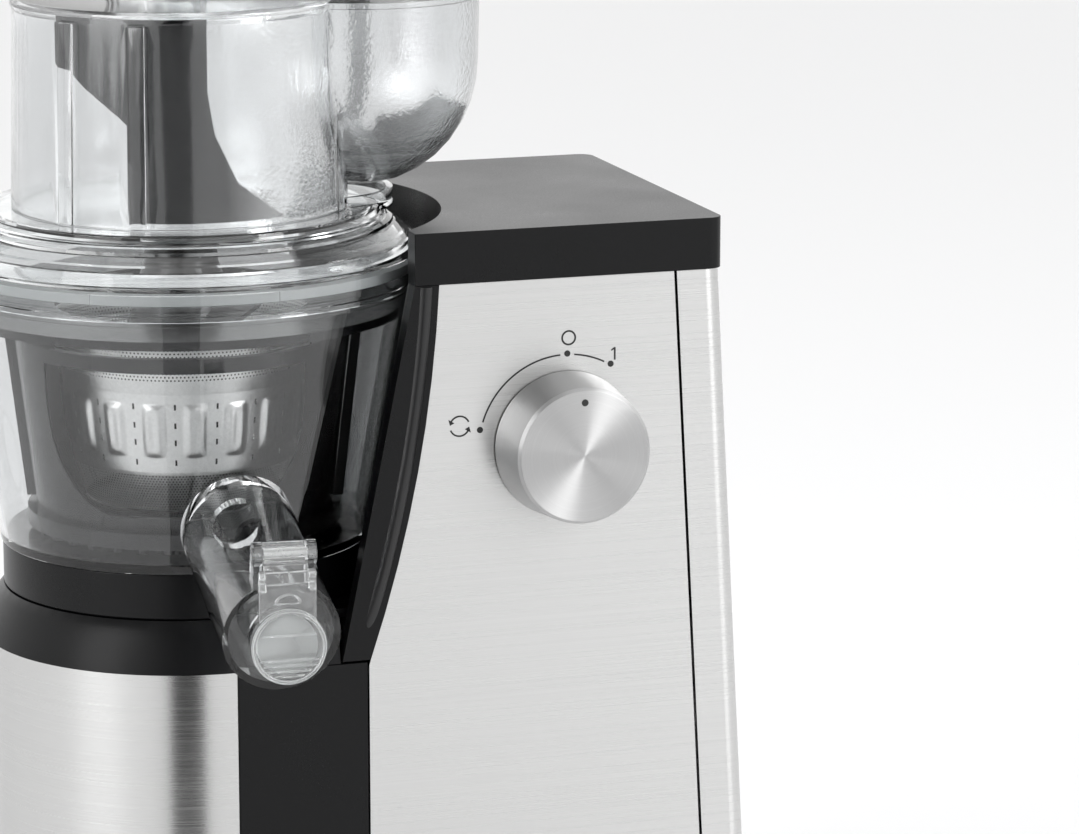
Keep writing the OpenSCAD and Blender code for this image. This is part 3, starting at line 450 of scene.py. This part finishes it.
def make_dial():
    reverse_dot, stop_dot, on_dot = -77.5, 1.2, 31.3
    marks = [arc_band(0, 0, DIAL_R, STROKE, reverse_dot + 5.0, stop_dot - 4.6),
             arc_band(0, 0, DIAL_R, STROKE, stop_dot + 4.6, on_dot - 4.6, 12)]
    marks += [disc(*turn_point(DIAL_R + 0.3, a), 1.05) for a in (reverse_dot, stop_dot, on_dot)]
    ring = (1.1, 35.2)
    marks += [arc_band(*ring, 2.25, STROKE + 0.05, a, a + 90.0, 10) for a in (0, 90, 180, 270)]
    one = (16.8, 29.0)
    one_shape = ((-0.1, -2.1), (0.5, -2.1), (0.5, 2.1), (-0.05, 2.1),
                 (-1.1, 1.35), (-0.95, 0.9), (-0.1, 1.4))
    marks.append([(one[0] + x, one[1] + y) for x, y in one_shape])
    turn = (-36.2, 8.2)
    loop_r = 3.3
    for side in (0, 180):
        marks.append(arc_band(*turn, loop_r, STROKE, side - 62, side + 68, 16))
        tip = turn_point(loop_r, side - 84)
        left = turn_point(loop_r - 1.2, side - 58)
        right = turn_point(loop_r + 1.2, side - 58)
        marks.append([(turn[0] + p[0], turn[1] + p[1]) for p in (tip, left, right)])
    plate("dial_marks", marks, on_panel, MARK_H, "housing", print_ink)


make_dial()


def make_pointer():
    """Printed dot on the knob's face, pointing at the stop mark."""
    face_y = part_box("knob_cap")[0].y
    pointer_up, pointer_r = 17.7, 1.15
    plate("knob_pointer", [disc(0, pointer_up, pointer_r)],
          lambda u, v, h: Vector((KNOB.x + u * MM, face_y - h * MM, KNOB.z + v * MM)),
          MARK_H, "knob", print_ink)


make_pointer()


# ---------------------------------------------------------------- spout cap

CAP_DROP = 28.0
CAP_DISC_R = 11.8
CAP_FRONT = 7.6
# Where a straight ridge has its points, as shares of its half length: thin at both ends
RIDGE = (-1, -0.94, 0.94, 1)
SPOUT_TURN = math.radians(-3.9)


def on_cap(u, v, h):
    """Across the hanging cap, up from its pin and out to the front."""
    pin = next(j for j in frame["record"]["behaviour"]["joints"] if j["name"] == "spout_cap_hinge")["pos_m"]
    c, s = math.cos(SPOUT_TURN), math.sin(SPOUT_TURN)
    return Vector(pin) + Vector((c * u + s * h, s * u - c * h, v)) * MM


def swept(points, faces, path, radius, sides=10, closed=False):
    """Round bar along path, a list of (u, v, h) on the cap."""
    base, count = len(points), len(path)
    spots = [Vector(p) for p in path]
    for k, spot in enumerate(spots):
        before = spots[k - 1] if closed or k else spots[0]
        after = spots[(k + 1) % count] if closed or k < count - 1 else spots[-1]
        ahead = (after - before).normalized()
        out = Vector((0, 0, 1))
        side = ahead.cross(out).normalized()
        tight = 1.0 if closed or 0 < k < count - 1 else 0.55
        for j in range(sides):
            a = 2 * math.pi * j / sides
            points.append(on_cap(*(spot + (side * math.cos(a) + out * math.sin(a)) * radius * tight)))
    for k in range(count if closed else count - 1):
        n = (k + 1) % count
        faces += [[base + k * sides + j, base + k * sides + (j + 1) % sides,
                   base + n * sides + (j + 1) % sides, base + n * sides + j] for j in range(sides)]
    if not closed:
        faces.append([base + j for j in range(sides - 1, -1, -1)])
        faces.append([base + (count - 1) * sides + j for j in range(sides)])


def make_cap_relief():
    """Rim, grip ridges, crescent and hinge cheeks on the clear flip cap."""
    points, faces = [], []
    rim_r = CAP_DISC_R - 0.8
    around = [turn_point(rim_r, 360 * k / 48) for k in range(48)]
    swept(points, faces, [(x, y - CAP_DROP, CAP_FRONT + 0.1) for x, y in around], 0.65, closed=True)
    for up in (-4.0, -5.7, -7.4, -9.0):
        half = math.sqrt((rim_r - 0.9) ** 2 - up ** 2)
        swept(points, faces, [(half * t, up - CAP_DROP, CAP_FRONT + 0.05) for t in RIDGE], 0.5)
    step_up, step_half = 3.8, 8.6
    step = [(step_half * t, step_up - CAP_DROP, CAP_FRONT + 0.05) for t in RIDGE]
    swept(points, faces, step, 0.45)
    plate_front, crescent_up, crescent_r = 6.0, -14.6, 3.9
    moon = [turn_point(crescent_r, a) for a in range(-90, 91, 12)]
    swept(points, faces, [(x, crescent_up + 0.75 * y, plate_front) for x, y in moon], 0.45)
    swept(points, faces, [(x, crescent_up, plate_front) for x in (-3.7, -3.4, 3.4, 3.7)], 0.4)
    for side in (-1, 1):
        for up in (-5.6, -9.4):
            swept(points, faces, [(side * x, up, 5.3) for x in (6.6, 6.8, 8.7, 8.9)], 1.7, sides=16)
    mesh = closed_mesh("cap_relief", points, faces, 50)
    link("cap_relief", mesh, "flip_cap", clear_cap)


make_cap_relief()


# ---------------------------------------------------------------- cradle's lip

def make_lip_bead():
    """Rounded bead that runs down the front of the cradle's lip."""
    top, bottom, rows, ring = 288.4, 171.0, 40, 12
    curve_r, curve_z, curve_x = 450.0, 312.5, 69.3
    front_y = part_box("cradle")[0].y
    half_w, proud, root = 2.4, 1.0, 0.8
    from_edge = 4.4
    points, faces = [], []
    for row in range(rows + 1):
        z = bottom + (top - bottom) * row / rows
        edge = curve_x - curve_r + math.sqrt(curve_r ** 2 - (curve_z - z) ** 2)
        middle = edge - from_edge
        taper = min(1.0, row / 8.0 + 0.2)
        for k in range(ring + 1):
            a = math.pi * k / ring
            spot = at(middle - half_w * math.cos(a), 0, z)
            out = (proud + root) * math.sin(a) * taper - root
            points.append(Vector((spot.x, front_y - out * MM, spot.z)))
    across = ring + 1
    for row in range(rows):
        for k in range(ring):
            a = row * across + k
            faces.append([a, a + 1, a + 1 + across, a + across])
    back = [[row * across, (row + 1) * across, (row + 1) * across + ring, row * across + ring]
            for row in range(rows)]
    ends = [list(range(across - 1, -1, -1)), [rows * across + k for k in range(across)]]
    mesh = closed_mesh("lip_bead", points, faces + back + ends, 60)
    link("lip_bead", mesh, "housing", black_bead_painted_sheen)


make_lip_bead()


# ---------------------------------------------------------------- sieve

SIEVE_SKIN = [(273.0, 44.0), (255.0, 41.4), (252.0, 40.4), (225.0, 37.2), (211.0, 32.5)]
BULGES = 18
BULGE_H = 1.5
SIEVE_TURN = -108.0


def sieve_r(z):
    for (z1, r1), (z2, r2) in zip(SIEVE_SKIN, SIEVE_SKIN[1:]):
        if z >= z2:
            return r2 + (r1 - r2) * (z - z2) / (z1 - z2)
    return SIEVE_SKIN[-1][1]


def round_point(radius, degrees, z):
    a = math.radians(degrees)
    return at(radius * math.cos(a), radius * math.sin(a), z)


def perforated(points, faces, z_low, z_high, pitch, hole_r):
    """Sheet with hexagonally placed holes between two heights, as rings of hexagon cells."""
    mid_r = sieve_r((z_low + z_high) / 2)
    around = int(round(2 * math.pi * mid_r / pitch))
    step = 360.0 / around
    row_h = pitch * math.sqrt(3) / 2
    rows = int((z_high - z_low) / row_h)
    start_z = (z_low + z_high - (rows - 1) * row_h) / 2
    side = pitch / math.sqrt(3)
    for row in range(rows):
        z = start_z + row * row_h
        for k in range(around):
            centre = (k + 0.5 * (row % 2)) * step
            base = len(points)
            for radius in (side, hole_r):
                for j in range(6):
                    a = math.radians(60 * j + 30)
                    height = z + radius * math.sin(a)
                    turn = centre + radius * math.cos(a) / pitch * step
                    points.append(round_point(sieve_r(height), turn, height))
            faces += [[base + j, base + (j + 1) % 6, base + 6 + (j + 1) % 6, base + 6 + j] for j in range(6)]


def plain_band(points, faces, z_low, z_high, steps=144):
    base = len(points)
    for z in (z_low, z_high):
        points += [round_point(sieve_r(z), 360.0 * k / steps, z) for k in range(steps)]
    faces += [[base + k, base + (k + 1) % steps, base + steps + (k + 1) % steps, base + steps + k]
              for k in range(steps)]


def embossed_band(points, faces, z_low, z_high):
    """Band with tall bulges, and a column of slots between each two."""
    per_bulge, rows = 20, 56
    columns = BULGES * per_bulge
    base = len(points)
    slot_rows = {first + k for first in (5, 19, 31, 44) for k in range(4)}
    for row in range(rows + 1):
        z = z_low + (z_high - z_low) * row / rows
        for k in range(columns):
            u = (k % per_bulge) / per_bulge - 0.5
            v = (row / rows - 0.52) / 0.33
            across = u / 0.27
            swell = max(0.0, 1 - across ** 2) ** 0.8 * max(0.0, 1 - v ** 4) ** 0.8
            dent = 0.55 * max(0.0, 1 - (across / 0.45) ** 2) * max(0.0, 1 - (v / 0.8) ** 4)
            radius = sieve_r(z) + BULGE_H * (swell - dent * 0.7)
            points.append(round_point(radius, SIEVE_TURN + 360.0 * k / columns, z))
    for row in range(rows):
        for k in range(columns):
            if k % per_bulge == 0 and row in slot_rows:
                continue
            a, b = base + row * columns + k, base + row * columns + (k + 1) % columns
            faces.append([a, b, b + columns, a + columns])


def make_sieve():
    points, faces = [], []
    perforated(points, faces, 256.2, 272.6, 1.31, 0.34)
    perforated(points, faces, 211.5, 224.6, 1.05, 0.27)
    plain_band(points, faces, 252.6, 256.6)
    plain_band(points, faces, 272.2, 273.0)
    plain_band(points, faces, 224.2, 225.6)
    embossed_band(points, faces, 225.4, 252.7)
    mesh = mesh_of("sieve_sheet", points, faces, 40)
    piece = link("sieve_sheet", mesh, "bowl", sieve_steel)
    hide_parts("strainer_mesh")


make_sieve()


# ---------------------------------------------------------------- rounded copies

softened("top_cap", 1.3, 3)
softened("cradle", 2.0, 4)
softened("front_insert", 0.5)
softened("rear_insert", 0.5)
softened("base_pan", 0.8)
softened("bowl_seat", 0.8)
softened("shoulder", 0.5)
softened("knob_cap", 0.7, 3, 20)
softened("hopper_cover", 0.8)
softened("rubber_feet", 0.8)
softened("cord_gland", 0.6)
softened("spout_cap", 0.45, 2)
softened("hopper", 0.5, 2)


# ---------------------------------------------------------------- stage, light and camera

# The camera, in millimetres from the bowl's axis and in degrees
CAMERA_PLACE = (-345.15, -1440.96, 559.6)
CAMERA_YAW = 18.072
CAMERA_PITCH = 12.371
CAMERA_LENS = 150.96

# The dark gap in the studio, in degrees, and how bright the rest is
GAP_AZIMUTH = CAMERA_YAW
GAP_HALF = 9.0
GAP_SHIFT = -4.0
SURROUND = 1.32

def make_floor():
    half = 60.0
    corners = [(-half, -half, 0), (half, -half, 0), (half, half, 0), (-half, half, 0)]
    mesh = mesh_of("floor", corners, [[0, 1, 2, 3]])
    floor = bpy.data.objects.new("floor", mesh)
    bpy.context.scene.collection.objects.link(floor)
    s = Shader("floor_white")
    cloud = s.noise(s.mapped((1, 1, 1)), 0.7, detail=1.0)
    s.tint(cloud, (0.955, 0.955, 0.96), (0.97, 0.97, 0.975))
    s.set(Roughness=0.55)
    paint(floor, s.material)


def make_world():
    """White studio, dimmer overhead, with a dark gap behind the camera."""
    world = bpy.data.worlds.new("studio")
    bpy.context.scene.world = world
    world.use_nodes = True
    tree = world.node_tree
    tree.nodes.clear()
    out = tree.nodes.new("ShaderNodeOutputWorld")
    shade = tree.nodes.new("ShaderNodeBackground")
    tree.links.new(shade.outputs["Background"], out.inputs["Surface"])
    coordinates = tree.nodes.new("ShaderNodeTexCoord")
    gap = math.radians(180 + GAP_AZIMUTH)
    flat = tree.nodes.new("ShaderNodeVectorMath")
    flat.operation = "MULTIPLY"
    flat.inputs[1].default_value = (1.0, 1.0, 0.0)
    tree.links.new(coordinates.outputs["Generated"], flat.inputs[0])
    unit = tree.nodes.new("ShaderNodeVectorMath")
    unit.operation = "NORMALIZE"
    tree.links.new(flat.outputs["Vector"], unit.inputs[0])
    dot = tree.nodes.new("ShaderNodeVectorMath")
    dot.operation = "DOT_PRODUCT"
    dot.inputs[1].default_value = (math.sin(gap), math.cos(gap), 0.0)
    tree.links.new(unit.outputs["Vector"], dot.inputs[0])
    sides = tree.nodes.new("ShaderNodeMapRange")
    sides.inputs["From Min"].default_value = math.cos(math.radians(GAP_HALF + 5))
    sides.inputs["From Max"].default_value = math.cos(math.radians(GAP_HALF))
    sides.inputs["To Min"].default_value = 1.0
    sides.inputs["To Max"].default_value = 0.02
    tree.links.new(dot.outputs["Value"], sides.inputs["Value"])
    split = tree.nodes.new("ShaderNodeSeparateXYZ")
    tree.links.new(coordinates.outputs["Generated"], split.inputs["Vector"])
    overhead = tree.nodes.new("ShaderNodeMapRange")
    overhead.inputs["From Min"].default_value = math.sin(math.radians(32))
    overhead.inputs["From Max"].default_value = math.sin(math.radians(50))
    overhead.inputs["To Min"].default_value = 1.0
    overhead.inputs["To Max"].default_value = 0.45
    tree.links.new(split.outputs["Z"], overhead.inputs["Value"])
    both = tree.nodes.new("ShaderNodeMath")
    both.operation = "MULTIPLY"
    tree.links.new(sides.outputs["Result"], both.inputs[0])
    tree.links.new(overhead.outputs["Result"], both.inputs[1])
    bright = tree.nodes.new("ShaderNodeMath")
    bright.operation = "MULTIPLY"
    bright.inputs[1].default_value = SURROUND
    tree.links.new(both.outputs["Value"], bright.inputs[0])
    tree.links.new(bright.outputs["Value"], shade.inputs["Strength"])
    shade.inputs["Color"].default_value = (1.0, 1.0, 1.0, 1)


def make_gap_card():
    """Strip of dark table towards the camera, seen only in reflections."""
    near, far = 0.30, 20.0
    middle = math.radians(180 + GAP_AZIMUTH + GAP_SHIFT)
    half = math.radians(GAP_HALF)
    corners = [at(0, 0, 1.0) + Vector((math.sin(middle + a), math.cos(middle + a), 0)) * r
               for a, r in ((-half, near), (half, near), (half, far), (-half, far))]
    card = bpy.data.objects.new("gap_card", mesh_of("gap_card", corners, [[0, 1, 2, 3]]))
    bpy.context.scene.collection.objects.link(card)
    s = Shader("gap_card_black")
    s.tint(s.noise(s.mapped((1, 1, 1)), 3.0), (0.004, 0.004, 0.004), (0.006, 0.006, 0.006))
    s.set(Roughness=0.9, **{"Specular IOR Level": 0.0})
    paint(card, s.material)
    card.visible_camera = False
    card.visible_diffuse = False
    card.visible_shadow = False
    card.visible_transmission = False


def soft_box(name, place, target, width, height, power):
    data = bpy.data.lights.new(name, "AREA")
    data.shape = "RECTANGLE"
    data.size, data.size_y = width, height
    data.energy = power
    lamp = bpy.data.objects.new(name, data)
    bpy.context.scene.collection.objects.link(lamp)
    lamp.location = place
    lamp.rotation_mode = "QUATERNION"
    lamp.rotation_quaternion = (Vector(target) - Vector(place)).to_track_quat("-Z", "Y")


def make_camera():
    data = bpy.data.cameras.new("camera")
    data.sensor_width = 36.0
    data.lens = CAMERA_LENS
    data.clip_start, data.clip_end = 0.05, 200.0
    camera = bpy.data.objects.new("camera", data)
    bpy.context.scene.collection.objects.link(camera)
    camera.location = at(*CAMERA_PLACE)
    yaw, pitch = math.radians(CAMERA_YAW), math.radians(CAMERA_PITCH)
    ahead = Vector((math.sin(yaw) * math.cos(pitch), math.cos(yaw) * math.cos(pitch), -math.sin(pitch)))
    camera.rotation_mode = "QUATERNION"
    camera.rotation_quaternion = ahead.to_track_quat("-Z", "Y")
    bpy.context.scene.camera = camera


make_floor()
make_world()
make_gap_card()
soft_box("left_box", (-1.5, -0.7, 0.9), (0, 0, 0.25), 0.8, 1.4, 10)
soft_box("right_box", (1.2, -1.4, 1.0), (0, 0, 0.25), 0.5, 1.0, 13)
soft_box("top_box", (0.1, 0.2, 1.9), (0, 0, 0.2), 1.2, 1.2, 3)
make_camera()

scene = bpy.context.scene
scene.view_settings.view_transform = "Standard"
scene.cycles.max_bounces = 14
scene.cycles.transmission_bounces = 14
scene.cycles.transparent_max_bounces = 14
scene.cycles.glossy_bounces = 6
scene.cycles.diffuse_bounces = 3
scene.cycles.caustics_refractive = True
scene.cycles.use_denoising = True
